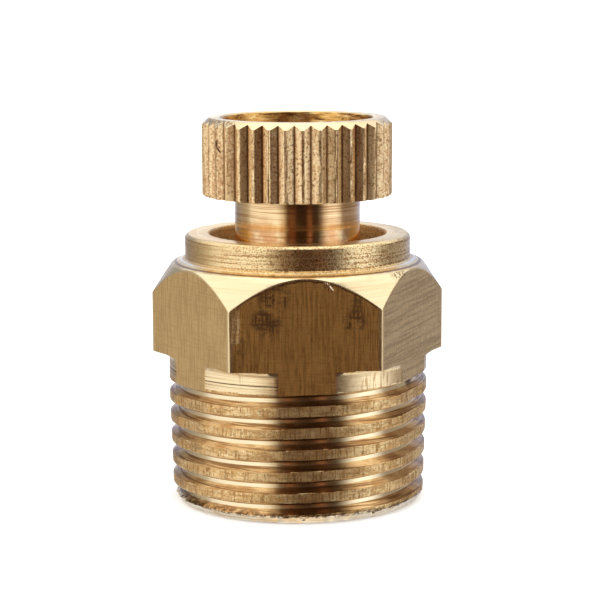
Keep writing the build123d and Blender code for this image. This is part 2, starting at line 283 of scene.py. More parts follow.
def body_columns():
    """Angles round the body, closest together at the hexagon's corners, where an edge is rounded."""
    near_corner = [0.0, 0.18, 0.36, 0.54, 0.80, 1.20, 1.80]
    half = near_corner + list(np.linspace(near_corner[-1], 30.0, 30)[1:])
    sector = half + [60.0 - a for a in half[-2:0:-1]]
    regular = np.concatenate([np.array(sector) + 60.0 * k for k in range(6)])
    regular = [a for a in regular if np.min(np.abs(SCAR_COLUMNS - a)) > 0.1]
    return np.radians(np.sort(np.concatenate([regular, SCAR_COLUMNS])))


def hexagon_radius(theta, rounding=0.16):
    """Distance from the axis to the hexagon's side, with its corners rounded."""
    from_flat = (np.degrees(theta) % 60.0) - 30.0
    along = HEX_APOTHEM * np.tan(np.radians(np.abs(from_flat)))
    flat = HEX_APOTHEM / np.cos(np.radians(from_flat))
    tangent = HEX_APOTHEM * tan(radians(30)) - rounding * tan(radians(30))
    centre = (HEX_APOTHEM - rounding) / cos(radians(30))
    from_corner = np.radians(30.0 - np.abs(from_flat))
    bulge = np.sqrt(np.maximum(rounding**2 - (centre * np.sin(from_corner)) ** 2, 0))
    arc = centre * np.cos(from_corner) + bulge
    return np.where(along > tangent, np.minimum(arc, flat), flat)


def taper_groove(offset, lip):
    """Depth of the taper thread's groove at a distance along the axis from its centre.

    lip is how far the crest has worn down at the groove's edge.
    """
    away = np.abs(offset)
    root, top = TAPER_GROOVE_ROOT / 2, TAPER_GROOVE_TOP / 2
    lip_width = 0.06
    worn = lip * np.clip((top + lip_width - away) / lip_width, 0, 1)
    return np.maximum(TAPER_DEPTH * np.clip((top - away) / (top - root), 0, 1), worn)


def body_radius(theta, height):
    """Outside of the threaded end and the land above it."""
    offset, turns = helix_place(theta, height, TAPER_PITCH, TAPER_GROOVE_FRONT)
    crest = np.minimum(TAPER_CREST_R + height * TAPER_SLOPE, LAND_R)
    fade = smooth((turns - 0.30) / 0.30) * TAPER_DEPTH
    lip = 0.022 + 0.022 * wobble(theta, turns * 7.0, 200, 0.6, 14)
    groove = np.maximum(taper_groove(offset, lip) - fade, 0)
    crest = crest - 0.003 - 0.003 * wobble(theta, height, 240, 0.25, 11)
    scratch = (0.05, -31, 8.50 + 0.05 * np.sin(theta * 3), 14, 0.05)
    crest = crest - cuts(theta, height, (*LAND_NICKS, scratch))
    end = TAPER_CREST_R - END_CHAMFER + height + 0.05 * wobble(theta, height * 0, 150, 1.0, 12)
    chips = np.maximum(wobble(theta, height * 0, 150, 1.0, 13) - 0.45, 0) * smooth((0.62 - height) / 0.10)
    end = end - 0.28 * chips * smooth((height - 0.22) / 0.08)
    return np.minimum(np.minimum(crest - groove, hexagon_radius(theta)), end)


def body_skin(materials):
    """The body, from the threaded end up the outside, over the mouth and down the bore."""
    theta = body_columns()
    skin = Skin(theta)
    side = hexagon_radius(theta)

    # Threaded end: helical rows from the bottom face up to just under the land's fillet
    steps = both_sides([0.0, 0.05, 0.09, 0.22, 0.35, 0.385, 0.44, 0.52], TAPER_PITCH)
    land_rows_low = HEX_BOTTOM - LAND_FILLET - 0.02
    helix_top = 8.25
    rows = thread_rows(theta, TAPER_PITCH, TAPER_GROOVE_FRONT, 0.0, helix_top, steps, body_radius)
    face = (np.degrees(theta) // 60).astype(int) % 6
    flats = np.array([BACK, BACK, BACK, LEFT, FRONT, RIGHT])[face]

    def thread_zone(rows):
        """Groove, crest or hexagon's flat, for the face above each point."""
        radius, height = grids(rows, len(theta))
        full = np.minimum(TAPER_CREST_R + height * TAPER_SLOPE, LAND_R)
        drop = np.minimum(full, side) - radius
        drop = np.maximum(drop, np.concatenate([drop[1:], drop[-1:]]))
        zone = np.where(drop > 0.06, GROOVE, np.where(height > THREAD_TOP - 0.10, LAND, CREST))
        on_chamfer = (height < END_CHAMFER - 0.03) & (radius > TAPER_CREST_R - END_CHAMFER + height - 0.20)
        zone = np.where(on_chamfer, FOOT, zone)
        return np.where((height > THREAD_TOP - 0.35) & (side < full - 0.01) & (zone != GROOVE), flats, zone)

    skin.band(rows, thread_zone(rows), shift=len(steps))
    land_levels = np.linspace(helix_top, land_rows_low, 16)
    land_rows = [(body_radius(theta, np.full_like(theta, z)), z) for z in land_levels]
    skin.band([rows[-1], land_rows[0]], LAND)
    skin.band(land_rows, thread_zone(land_rows))
    foot = rows[0]

    # Land's top, fillet and the hexagon's underside, cut off at the hexagon's sides
    land = np.minimum(LAND_R, side)
    fillet = [(land, land_rows_low)]
    for angle in np.radians([0, 22, 45, 68, 90]):
        radius = LAND_R + LAND_FILLET * (1 - cos(angle))
        fillet.append((np.minimum(radius, side), HEX_BOTTOM - LAND_FILLET * (1 - sin(angle))))
    land_zone = np.where(side < LAND_R - 0.01, flats, LAND)
    skin.band([land_rows[-1], fillet[0]], land_zone)
    skin.band(fillet, land_zone)
    under = [fillet[-1], (np.maximum(side - 0.05, fillet[-1][0]), HEX_BOTTOM), (side, HEX_BOTTOM + 0.05)]
    skin.band(under, np.where(side < LAND_R + LAND_FILLET - 0.01, flats, LAND))

    # Sides of the hexagon up to the cone, which they meet in arcs
    slope = (COLLAR_BASE - KNEE_Z) / (KNEE_R - COLLAR_R)
    steep = (KNEE_Z - HEX_CORNER_TOP) / (HEX_CORNER_R - KNEE_R)

    def cone_height(radius):
        return KNEE_Z + np.minimum((KNEE_R - radius) * slope, (KNEE_R - radius) * steep)

    edge = 0.045
    scar = cuts(theta, 0, ARCH_SCARS)
    meet = cone_height(side) - scar
    flat_rows = [(side, HEX_BOTTOM + 0.05)]
    for t in np.linspace(0, 1, 19)[1:-1]:
        level = HEX_BOTTOM + 0.05 + t * (meet - edge - HEX_BOTTOM - 0.05)
        torn = smooth((level - TORN_ABOVE) / 0.1) * dent(theta, 0, TORN_CORNER, 0, 1.3, 1)
        rough_edge = 0.06 + 0.03 * wobble(theta, level, 400, 0.35, 31)
        flat_rows.append((side - torn * rough_edge, level))
    # Height of the strip under the front flat's top edge that is painted dark as the shadow of a burr along
    # the arch
    burr_shadow_width = 0.09 + 0.05 * wobble(theta, 0, 240, 1.0, 32)
    flat_rows.append((side, meet - edge - burr_shadow_width))
    corner = np.abs((np.degrees(theta) % 60.0) - 30.0)
    zone = np.where((corner > 29.1) | (np.roll(corner, -1) > 29.1), EDGE, flats)
    torn_zone = dent(theta, 0, TORN_CORNER - 0.1, 0, 1.2, 1) > 0.4
    high = grids(flat_rows, len(theta))[1] > TORN_ABOVE
    skin.band(flat_rows, np.where(high & torn_zone, CREST, zone))
    top_edge = (side, meet - edge)
    # The front flat's strip under its top edge: painted shadow of a burr along the arch
    skin.band([flat_rows[-1], top_edge], np.where((flats == FRONT) & (corner < 27.5), BURR_SHADOW, zone))
    inner_edge = side - edge
    lip = side - edge * 0.35
    cone = [(inner_edge, cone_height(inner_edge))]
    skin.band([top_edge, (lip, cone_height(lip) - 0.008 - scar * 0.6), cone[0]], CONE)
    for radius in (9.1, 8.9, 8.7, 8.5, 8.3, 8.15, 8.06, 8.0, 7.96, 7.92, 7.86, 7.75, 7.6, 7.45, 7.3):
        r = np.minimum(radius, inner_edge)
        knee_blend = 0.04 * np.exp(-(((r - KNEE_R) / 0.07) ** 2))
        cone.append((r, cone_height(r) - knee_blend))
    outside_knee = grids(cone, len(theta))[0] > KNEE_R - 0.01
    skin.band(cone, np.where(outside_knee, CONE, STEP))

    collar = [
        (7.3, float(cone_height(7.3))), (COLLAR_R, COLLAR_BASE), (COLLAR_R, BODY_TOP - COLLAR_CHAMFER),
        (COLLAR_R - COLLAR_CHAMFER, BODY_TOP), (COUNTERBORE_R + 0.10, BODY_TOP),
        (COUNTERBORE_R, BODY_TOP - 0.10), (COUNTERBORE_R, RING_GROOVE_TOP),
        (RING_GROOVE_R, RING_GROOVE_TOP), (RING_GROOVE_R, RING_GROOVE_LOW),
        (COUNTERBORE_R, RING_GROOVE_LOW), (COUNTERBORE_R, COUNTERBORE_FLOOR),
        (FEMALE_ROOT_R + 0.03, COUNTERBORE_FLOOR),
    ]
    collar = rounded(collar, 0.06)
    outside = [r > COUNTERBORE_R + 0.3 for r, _ in collar]
    skin.band(collar, np.where(outside, COLLAR, MOUTH)[:, None])

    # Inside thread, from the counterbore's floor down to the relief
    female_width = (MALE_CREST_R - FEMALE_CREST_R) * FINE_FLANK + CREST_FLAT / 2 + FLANK_GAP

    def female_radius(theta, height):
        offset, _ = helix_place(theta, height, KNOB_PITCH, FEMALE_GROOVE_FRONT)
        depth = np.clip((female_width - np.abs(offset)) / FINE_FLANK, 0, FEMALE_ROOT_R - FEMALE_CREST_R)
        return np.maximum(FEMALE_CREST_R + depth, FEMALE_CREST_R + height - (COUNTERBORE_FLOOR - 0.5))

    steps = both_sides([0.0, 0.06, 0.22, female_width], KNOB_PITCH)
    ends = (RELIEF_TOP, COUNTERBORE_FLOOR)
    inside = thread_rows(theta, KNOB_PITCH, FEMALE_GROOVE_FRONT, *ends, steps, female_radius)
    skin.band(inside, INSIDE, shift=len(steps))
    skin.band([collar[-1], inside[-1]], INSIDE)
    bore = [
        (RELIEF_R, RELIEF_TOP), (RELIEF_R, RELIEF_LOW), (FEMALE_CREST_R, RELIEF_LOW),
        (NOSE_BORE_R, NOSE_BORE_TOP), (NOSE_BORE_R, CHAMBER_FLOOR), (ORIFICE_R, CHAMBER_FLOOR),
        (ORIFICE_R, CHECK_SEAT), (INLET_R, CHECK_SEAT), (INLET_R, INLET_CHAMFER),
        (INLET_R + INLET_CHAMFER, 0.0),
    ]
    skin.band([inside[0], bore[0]], INSIDE)
    skin.band(bore, INSIDE)
    skin.band([bore[-1], ((bore[-1][0] + foot[0]) / 2, 0.0), foot], FOOT)
    return skin.build("valve_body_turned", materials)


# ---- knob
def knob_columns():
    """Angles round the knob, and each one's place across its rib: -1 and 1 are the valleys."""
    crest = [-0.16, -0.06, 0.0, 0.06, 0.16]
    across = [-1.0, -0.93, -0.7, -0.45, -0.24] + crest + [0.24, 0.45, 0.7, 0.93]
    centres = np.arange(RIB_COUNT) * 2 * pi / RIB_COUNT - pi / 2
    theta = np.concatenate([c + np.array(across) * pi / RIB_COUNT for c in centres])
    return theta, np.tile(across, RIB_COUNT), np.repeat(np.arange(RIB_COUNT), len(across))


def knob_skin(materials):
    """The knob, from its ribs over the rim into the cup, down the bore and back up to the ribs."""
    theta, across, rib = knob_columns()
    rng = np.random.default_rng(5)
    skin = Skin(theta)
    rib_height = rng.uniform(-0.03, 0.0, RIB_COUNT)[rib]
    rib_lean = rng.uniform(-0.05, 0.05, RIB_COUNT)[rib]
    seam = rng.uniform(0.01, 0.05, RIB_COUNT)[rib]
    flat = 0.16

    def knurl(height):
        """Radius of the ribbed rim at a height."""
        shift = rib_lean + 0.03 * wobble(theta, height, RIB_COUNT, 1.2, 21)
        place = np.where(np.abs(across) < 0.99, across + shift * (1 - np.abs(across)), across)
        drop = KNURL_DEPTH * np.clip((np.abs(place) - flat) / (1 - flat), 0, 1)
        crack = seam * np.exp(-((place / 0.05) ** 2)) * (0.6 + 0.4 * wobble(theta, height, 90, 0.5, 22))
        grain = 0.006 * wobble(theta, height, 300, 0.2, 23) - 0.006
        cut = crack + cuts(theta, height, RIB_NICKS)
        return KNOB_R + rib_height * (1 - np.abs(across)) - drop - cut + grain

    top_inner = KNOB_R - KNOB_TOP_CHAMFER
    chamfer_low = KNOB_BOTTOM + KNOB_BOTTOM_CHAMFER
    outer = knurl(chamfer_low)
    rows = [(np.minimum(outer, KNOB_R - KNOB_BOTTOM_CHAMFER), KNOB_BOTTOM), (outer, chamfer_low)]
    top_of_rib = KNOB_TOP - np.maximum(knurl(KNOB_TOP - KNOB_TOP_CHAMFER) - top_inner, 0)
    for t in np.linspace(0.02, 1.0, 42):
        z = chamfer_low + t * (top_of_rib - chamfer_low)
        rows.append((knurl(z), z))
    skin.band(rows, KNURL)
    rim = rows[-1][0]
    top_rows = [rows[-1]]
    for t in (0.12, 0.5, 0.88):
        top_rows.append((rim + t * (top_inner - rim), rows[-1][1] + t * (KNOB_TOP - rows[-1][1])))
    top_rows.append((top_inner - 0.03, KNOB_TOP))
    skin.band(top_rows, RIM)
    low, high = MALE_LOW - 0.25, MALE_TOP
    cup = [
        (top_inner - 0.03, KNOB_TOP), (CUP_R + 0.10, KNOB_TOP), (CUP_R, KNOB_TOP - 0.12),
        (CUP_R, CUP_FLOOR), (VENT_R, CUP_FLOOR), (VENT_R, STACK_TOP), (STACK_R, STACK_TOP),
        (STACK_R, NOSE_BOTTOM), (NOSE_R, NOSE_BOTTOM), (NOSE_R, NOSE_GROOVE_LOW),
        (NOSE_GROOVE_R, NOSE_GROOVE_LOW), (NOSE_GROOVE_R, NOSE_GROOVE_TOP), (NOSE_R, NOSE_GROOVE_TOP),
        (NOSE_R, low),
    ]
    cup = rounded(cup, 0.08)
    zones = [RIM if z > KNOB_TOP - 0.02 else CUP if z > CUP_FLOOR - 0.2 else HEAD for _, z in cup]
    skin.band(cup, np.array(zones)[:, None])

    # Male thread: half a pitch away from the body's thread, with its ends chamfered off
    male_width = (KNOB_PITCH - CREST_FLAT) / 2

    def male_radius(theta, height):
        offset, _ = helix_place(theta, height, KNOB_PITCH, MALE_GROOVE_FRONT)
        depth = np.clip((male_width - np.abs(offset)) / FINE_FLANK, 0, MALE_CREST_R - MALE_ROOT_R)
        start = NOSE_R + (height - low) * (MALE_CREST_R - NOSE_R) / 0.5
        end = MALE_ROOT_R - 0.1 + (high - height) * (MALE_CREST_R - MALE_ROOT_R + 0.1) / 0.4
        return np.minimum(MALE_CREST_R - depth, np.minimum(start, end))

    steps = both_sides([0.0, 0.11, 0.27, male_width], KNOB_PITCH)
    turn = theta % (2 * pi)
    male = thread_rows(turn, KNOB_PITCH, MALE_GROOVE_FRONT, low, high, steps, male_radius)
    order = np.argsort(turn, kind="stable")
    sorted_male = [(radius[order], height[order]) for radius, height in male]
    skin.band(sorted_male, HEAD, shift=len(steps), theta=turn[order])
    shoulders = ((MALE_ROOT_R - 0.1, MALE_TOP), (NECK_R + 0.4, KNOB_BOTTOM))
    neck = rounded([shoulders[0], (NECK_R, MALE_TOP), (NECK_R, KNOB_BOTTOM), shoulders[1]], 0.06)
    levels = np.linspace(neck[4][1], neck[-4][1], 10)[1:-1]
    neck = neck[:4] + [(NECK_R, z) for z in levels] + neck[-4:]
    skin.band([male[-1], *neck, rows[0]], NECK)
    return skin.build("knob_turned", materials)


# ---- materials
class Graph:
    """Short calls for the nodes of a material or of the world."""

    def __init__(self, tree):
        self.tree = tree

    def put(self, kind, **settings):
        node = self.tree.nodes.new("ShaderNode" + kind)
        for key, value in settings.items():
            setattr(node, key, value)
        return node

    def feed(self, socket, value):
        """Link a socket, or set it when the value is a number, a vector or a colour."""
        if isinstance(value, bpy.types.NodeSocket):
            self.tree.links.new(value, socket)
        elif socket.type == "RGBA":
            socket.default_value = (*value, 1)
        else:
            socket.default_value = value

    def axes(self, place):
        node = self.put("SeparateXYZ")
        self.feed(node.inputs[0], place)
        return node.outputs

    def levels(self, value, low, high, to_low=0.0, to_high=1.0):
        """to_low where the value is low, to_high where it is high, and smooth in between."""
        node = self.put("MapRange", interpolation_type="SMOOTHSTEP")
        numbers = {"From Min": low, "From Max": high, "To Min": to_low, "To Max": to_high}
        for socket, number in numbers.items():
            self.feed(node.inputs[socket], number)
        self.feed(node.inputs["Value"], value)
        return node.outputs[0]

    def sum(self, a, b, operation="ADD"):
        node = self.put("Math", operation=operation)
        self.feed(node.inputs[0], a)
        self.feed(node.inputs[1], b)
        return node.outputs[0]

    def times(self, a, b):
        return self.sum(a, b, "MULTIPLY")

    def vector(self, operation, a, b=None):
        node = self.put("VectorMath", operation=operation)
        self.feed(node.inputs[0], a)
        if b is not None:
            self.feed(node.inputs["Scale" if operation == "SCALE" else 1], b)
        return node.outputs["Value" if operation == "LENGTH" else "Vector"]

    def mix(self, share, under, over):
        node = self.put("Mix", data_type="RGBA")
        self.feed(node.inputs["Factor"], share)
        self.feed(node.inputs["A"], under)
        self.feed(node.inputs["B"], over)
        return node.outputs["Result"]

    def tint(self, under, over, value, low, high, share=1.0):
        """One colour with that share of another over it, where the value goes from low to high."""
        return self.mix(self.levels(value, low, high, 0.0, share), under, over)


class Finish(Graph):
    """Node graph of one surface. Texture coordinates are the piece's own."""

    def __init__(self, name, roughness, metallic=1.0):
        self.material = bpy.data.materials.new(name)
        self.material.use_nodes = True
        super().__init__(self.material.node_tree)
        self.shader = self.tree.nodes["Principled BSDF"]
        self.feed(self.shader.inputs["Metallic"], metallic)
        self.feed(self.shader.inputs["Roughness"], roughness)
        self.place = self.put("TexCoord").outputs["Object"]
        self.x, self.y, self.z = self.axes(self.place)
        self.relief = None

    def cells(self, place, detail, roughness, **settings):
        node = self.put("TexNoise", **settings)
        self.feed(node.inputs["Vector"], place)
        for socket, number in (("Scale", 1.0), ("Detail", detail), ("Roughness", roughness)):
            self.feed(node.inputs[socket], number)
        return node

    def noise(self, per_mm, detail=3.0, roughness=0.6, turn=(0, 0, 0), offset=0.0):
        """Noise with that many cells per millimetre, once turned by degrees about x, y and z.

        per_mm is for x, y and z, or for the level directions and the height.
        """
        place = self.place
        for axis, angle in enumerate(turn):
            if angle:
                turned_place = self.put("Mapping")
                turned_place.inputs["Rotation"].default_value[axis] = radians(angle)
                self.feed(turned_place.inputs["Vector"], place)
                place = turned_place.outputs[0]
        mapping = self.put("Mapping")
        self.feed(mapping.inputs["Scale"], [n / MM for n in (per_mm[0], *per_mm)[-3:]])
        self.feed(mapping.inputs["Location"], (offset, offset, offset))
        self.feed(mapping.inputs["Vector"], place)
        return self.cells(mapping.outputs[0], detail, roughness).outputs["Fac"]

    def turning(self, across, along=0.10, detail=4.0, roughness=0.75):
        """Noise in lines round the axis, on walls and on faces: cells per millimetre across and along."""
        place = self.put("CombineXYZ")
        self.feed(place.inputs["X"], self.times(self.radius(), across))
        self.feed(place.inputs["Y"], self.times(self.z, across / MM))
        self.feed(place.inputs["Z"], self.times(self.x, along / MM))
        node = self.cells(place.outputs[0], detail, roughness, noise_dimensions="4D")
        self.feed(node.inputs["W"], self.times(self.y, along / MM))
        return node.outputs["Fac"]

    def spot(self, centre, half_size, lean=0.0):
        """1 in a soft-edged oval on the front: millimetres along x and z, leaning by degrees."""
        middle = (centre[0] * MM, 0, centre[1] * MM)
        size = (1 / MM / half_size[0], 0, 1 / MM / half_size[1])
        upright = self.put("VectorRotate", rotation_type="Y_AXIS")
        self.feed(upright.inputs["Vector"], self.vector("SUBTRACT", self.place, middle))
        self.feed(upright.inputs["Angle"], radians(lean))
        away = self.vector("LENGTH", self.vector("MULTIPLY", upright.outputs[0], size))
        return self.times(self.levels(away, 1.2, 0.5), self.levels(self.y, MM, -MM))

    def height(self):
        """Height in millimetres."""
        return self.times(self.z, 1 / MM)

    def radius(self):
        """Distance from the axis in millimetres."""
        return self.vector("LENGTH", self.vector("MULTIPLY", self.place, (1 / MM, 1 / MM, 0)))

    def dirt(self, tone):
        """Adds torn dark burrs along the thread's bottom edge, and the chip where the thread runs out."""
        torn = self.noise((2.6, 3.5), 4, 0.75, offset=6.5)
        height = self.height()
        near = self.times(self.levels(height, 0.30, 0.42), self.levels(height, 0.80, 0.46))
        burrs = self.times(near, self.levels(torn, 0.46, 0.54, 0.0, 0.9))
        return self.mix(self.sum(burrs, self.spot(*RUN_OUT_CHIP), "MAXIMUM"), tone, SOOT_AND_SHADOW)

    def sand(self, tone, grain, mask, hole, painted_glint, bright):
        """Dark pits and painted glints on bright grains where the mask is: from, to and share of each."""
        for (low, high, share), colour in ((hole, DARK_BRASS), (painted_glint, bright)):
            grains = self.times(self.levels(grain, low, high), mask)
            tone = self.mix(self.times(grains, share), tone, colour)
        return tone

    def lean(self, added):
        """Shade as if that vector were added to the surface's normal."""
        normal = self.put("NewGeometry").outputs["Normal"]
        self.relief = self.vector("NORMALIZE", self.vector("ADD", normal, added))

    def lean_out(self, share):
        """Shade as if the surface stood more upright: adds that share of the way out from the axis."""
        out = self.put("VectorTransform", convert_from="OBJECT", convert_to="WORLD")
        out.vector_type = "VECTOR"
        self.feed(out.inputs[0], self.vector("NORMALIZE", self.vector("MULTIPLY", self.place, (1, 1, 0))))
        self.lean(self.vector("SCALE", out.outputs[0], share))

    def lean_up(self, share):
        """Shade as if the surface faced more upwards, by a share that may vary over it."""
        up = self.put("CombineXYZ")
        self.feed(up.inputs["Z"], share)
        self.lean(up.outputs[0])

    def colour(self, value):
        self.feed(self.shader.inputs["Base Color"], value)

    def rough(self, value, at_low, at_high, spread=0.15):
        """Roughness that follows a value, from spread below a half to spread above it."""
        rough = self.levels(value, 0.5 - spread, 0.5 + spread, at_low, at_high)
        self.feed(self.shader.inputs["Roughness"], rough)

    def bump(self, value, depth):
        """Relief of that depth in thousandths of a millimetre, on top of any before."""
        node = self.put("Bump")
        self.feed(node.inputs["Strength"], 1.0)
        self.feed(node.inputs["Distance"], depth * 0.001 * MM)
        self.feed(node.inputs["Height"], value)
        if self.relief:
            self.feed(node.inputs["Normal"], self.relief)
        self.relief = node.outputs["Normal"]
        self.feed(self.shader.inputs["Normal"], self.relief)


BRASS = (0.86, 0.62, 0.31)
PALE_BRASS = (0.92, 0.74, 0.44)
BROWN_BRASS = (0.50, 0.29, 0.12)
DARK_BRASS = (0.24, 0.13, 0.06)
# Near-black brown of dark marks, and of the painted shadow under the front arch's burr
SOOT_AND_SHADOW = (0.10, 0.045, 0.02)
# Dark chip where the thread runs out: the middle, half sizes, degrees from upright
RUN_OUT_CHIP = ((6.75, 8.05), (0.34, 0.42), -30)


def turned(name, bright, dark, stain, roughness, rings, relief, pits=0.0, metallic=1.0, rubs=()):
    """Lathe-turned brass: rings round the axis, a little brown, small pits with painted glints, and gritty
    rubbed spots.
    """
    look = Finish(name, roughness, metallic)
    ring = look.turning(rings)
    patch = look.noise((0.9, 1.8), 5, 0.65, offset=3.0)
    tone = look.tint(bright, dark, patch, 0.50, 0.72, stain)
    tone = look.tint(tone, dark, ring, 0.50, 0.36, 0.65)
    if pits:
        grain = look.noise((9.0, 12.0), 2, 0.7, offset=1.0)
        mask = look.levels(look.noise((0.7, 1.4), detail=2, offset=7.0), 0.30, 0.52)
        # Painted glints: near-white grains standing in for sparkle
        glint_colour = (1.0, 0.86, 0.56)
        tone = look.sand(tone, grain, mask, (0.50, 0.37, pits), (0.54, 0.63, 0.8 * pits), glint_colour)
        look.bump(grain, 8.0 * pits)
    for rub in rubs:
        grit = look.levels(look.noise((6.5, 6.5), 3, 0.8, offset=5.0), 0.44, 0.54)
        tone = look.mix(look.times(look.spot(*rub), grit), tone, (0.34, 0.24, 0.14))
    look.colour(tone)
    look.rough(ring, roughness + 0.10, roughness - 0.03)
    look.bump(ring, relief)
    return look.material


def foot_brass():
    """Chamfer and face of the threaded end: bright, with torn dark burrs along the chamfer's top."""
    look = Finish("end_face", 0.30)
    ring = look.noise((0.10, 8.0), 4, 0.75)
    patch = look.noise((0.9, 1.8), 5, 0.65, offset=3.0)
    tone = look.tint((1.0, 0.84, 0.58), (0.86, 0.62, 0.34), patch, 0.42, 0.66)
    tone = look.tint(tone, BROWN_BRASS, ring, 0.48, 0.38, 0.6)
    look.colour(look.dirt(tone))
    look.rough(ring, 0.36, 0.24)
    look.bump(ring, 1.0)
    return look.material


# Tool lines round the land, at its front left: lower and upper height, strength
LAND_LINES = ((8.52, 8.56, 0.95), (8.34, 8.36, 0.5), (9.00, 9.01, 0.35), (8.78, 8.79, 0.3))


def land_brass():
    """Turned land above the thread: bright, with lines round it and short marks along the axis."""
    look = Finish("land", 0.28)
    ring = look.noise((0.10, 7.0), 4, 0.8)
    mark = look.noise((6.0, 0.5), 3, 0.75)
    where = look.levels(look.noise((0.28, 0.2), detail=1, offset=3.3), 0.46, 0.56)
    tone = look.tint((1.0, 0.82, 0.53), (0.62, 0.40, 0.20), ring, 0.50, 0.38, 0.8)
    hatch = look.times(look.levels(mark, 0.50, 0.40), where)
    tone = look.mix(look.times(hatch, 0.8), tone, BROWN_BRASS)
    front_left = look.times(look.levels(look.x, 0.0, -MM), look.levels(look.y, 0.0, -MM))
    height = look.height()
    edge = 0.03
    for low, high, strength in LAND_LINES:
        line = look.times(look.levels(height, low - edge, low), look.levels(height, high + edge, high))
        tone = look.mix(look.times(look.times(line, front_left), strength), tone, SOOT_AND_SHADOW)
    look.colour(look.dirt(tone))
    look.rough(ring, 0.36, 0.22)
    look.bump(ring, 1.2)
    look.bump(hatch, 2.0)
    return look.material


def crest_brass():
    """Tops of the thread: rough stock left by the die, with short marks along the axis, dark specks and
    painted glints.
    """
    look = Finish("thread_crest", 0.42)
    mark = look.noise((6.0, 0.6), 4, 0.8)
    grain = look.noise((4.5, 7.0), 4, 0.8, offset=5.0)
    line = look.noise((0.5, 8.0), 3, 0.7, offset=8.0)
    patch = look.noise((0.6, 1.2), 4, 0.6, offset=2.0)
    tone = look.tint((1.0, 0.75, 0.40), (0.80, 0.52, 0.23), patch, 0.40, 0.60)
    tone = look.tint(tone, (0.48, 0.27, 0.10), mark, 0.51, 0.40)
    tone = look.tint(tone, BROWN_BRASS, line, 0.50, 0.40, 0.6)
    # Painted glints: pale grains standing in for sparkle
    tone = look.tint(tone, (1.0, 0.88, 0.58), grain, 0.55, 0.62, 0.8)
    tone = look.tint(tone, DARK_BRASS, grain, 0.42, 0.34)
    look.colour(look.dirt(tone))
    look.rough(grain, 0.56, 0.36, 0.2)
    look.bump(mark, 3.5)
    look.bump(grain, 4.0)
    return look.material


def groove_brass():
    """Flanks and roots of the thread: smooth, painted browner as shade in the grooves, with fine lines along
    the groove and a painted highlight along the root.
    """
    look = Finish("thread_groove", 0.24)
    look.lean_out(2.0)
    line = look.noise((0.12, 9.0), 3, 0.8)
    patch = look.noise((0.8, 1.5), 4, 0.6, offset=4.0)
    crest = look.sum(look.times(look.height(), TAPER_SLOPE), TAPER_CREST_R)
    depth = look.sum(crest, look.radius(), "SUBTRACT")
    # Painted shade: browner and darker than the crests, where shade falls in the groove
    tone = look.tint((0.84, 0.55, 0.26), (0.60, 0.33, 0.13), patch, 0.40, 0.62)
    tone = look.tint(tone, (0.26, 0.12, 0.04), line, 0.52, 0.40, 0.9)
    # Painted highlight: a cream line along the deepest part of the groove
    tone = look.tint(tone, (1.0, 0.86, 0.60), depth, TAPER_DEPTH - 0.12, TAPER_DEPTH - 0.03)
    look.colour(look.dirt(tone))
    look.rough(line, 0.22, 0.13)
    look.bump(line, 0.6)
    return look.material


def flat_brass(name, bright, dark, roughness, spots=(), scratches=()):
    """Drawn hexagon bar: fine streaks, a weave across them, rubbed dark spots and bright scratches with a
    painted highlight.
    """
    look = Finish(name, roughness)
    scratched = 0.0
    for scratch in scratches:
        scratched = look.sum(look.spot(*scratch), scratched, "MAXIMUM")
    if scratches:
        look.lean_up(scratched)
    streak = look.noise((7.0, 0.45), 5, 0.75)
    weave = look.noise((0.45, 8.0), 4, 0.75, offset=6.0)
    tone = look.tint(dark, bright, streak, 0.38, 0.58)
    tone = look.tint(tone, dark, weave, 0.51, 0.38, 0.7)
    for centre, half_size, strength in spots:
        rubbed = look.sum(look.levels(streak, 0.56, 0.46), look.levels(weave, 0.54, 0.46), "MAXIMUM")
        blot = look.levels(look.noise((1.3, 1.3), 3, 0.7, offset=4.0), 0.40, 0.54)
        rubbed = look.times(look.times(look.spot(centre, half_size), blot), rubbed)
        tone = look.mix(look.times(rubbed, strength), tone, DARK_BRASS)
    if scratches:
        # Painted highlight: the scratches near-white
        tone = look.mix(scratched, tone, (1.0, 0.92, 0.74))
    look.colour(tone)
    look.rough(weave, roughness + 0.06, roughness - 0.06, 0.2)
    look.bump(streak, 0.7)
    look.bump(weave, 0.6)
    return look.material


def tooled_brass(name, bright, dark, face_azimuth, tilt, roughness):
    """A flat with coarse tool marks across it, tilted, over the bar's own streaks."""
    look = Finish(name, roughness)
    mark = look.noise((0.18, 1.0, 4.4), 3, 0.75, turn=(0, tilt, -face_azimuth))
    streak = look.noise((8.0, 0.9), 4, 0.8)
    grain = look.noise((7.0, 8.0), 3, 0.7, offset=2.0)
    tone = look.tint(dark, bright, mark, 0.38, 0.60)
    tone = look.tint(tone, dark, streak, 0.50, 0.38, 0.7)
    tone = look.tint(tone, dark, grain, 0.46, 0.36, 0.6)
    look.colour(look.tint(tone, (0.95, 0.80, 0.56), grain, 0.54, 0.64, 0.7))
    look.rough(mark, roughness + 0.08, roughness - 0.06, 0.2)
    look.bump(mark, 4.0)
    look.bump(grain, 1.2)
    return look.material


# Cuts in two ribs at the knob's left: the middle, half sizes, degrees from upright
KNURL_SCRATCHES = (
    ((-5.14, 22.78), (0.070, 0.26), 0), ((-5.00, 22.40), (0.065, 0.24), 35),
)


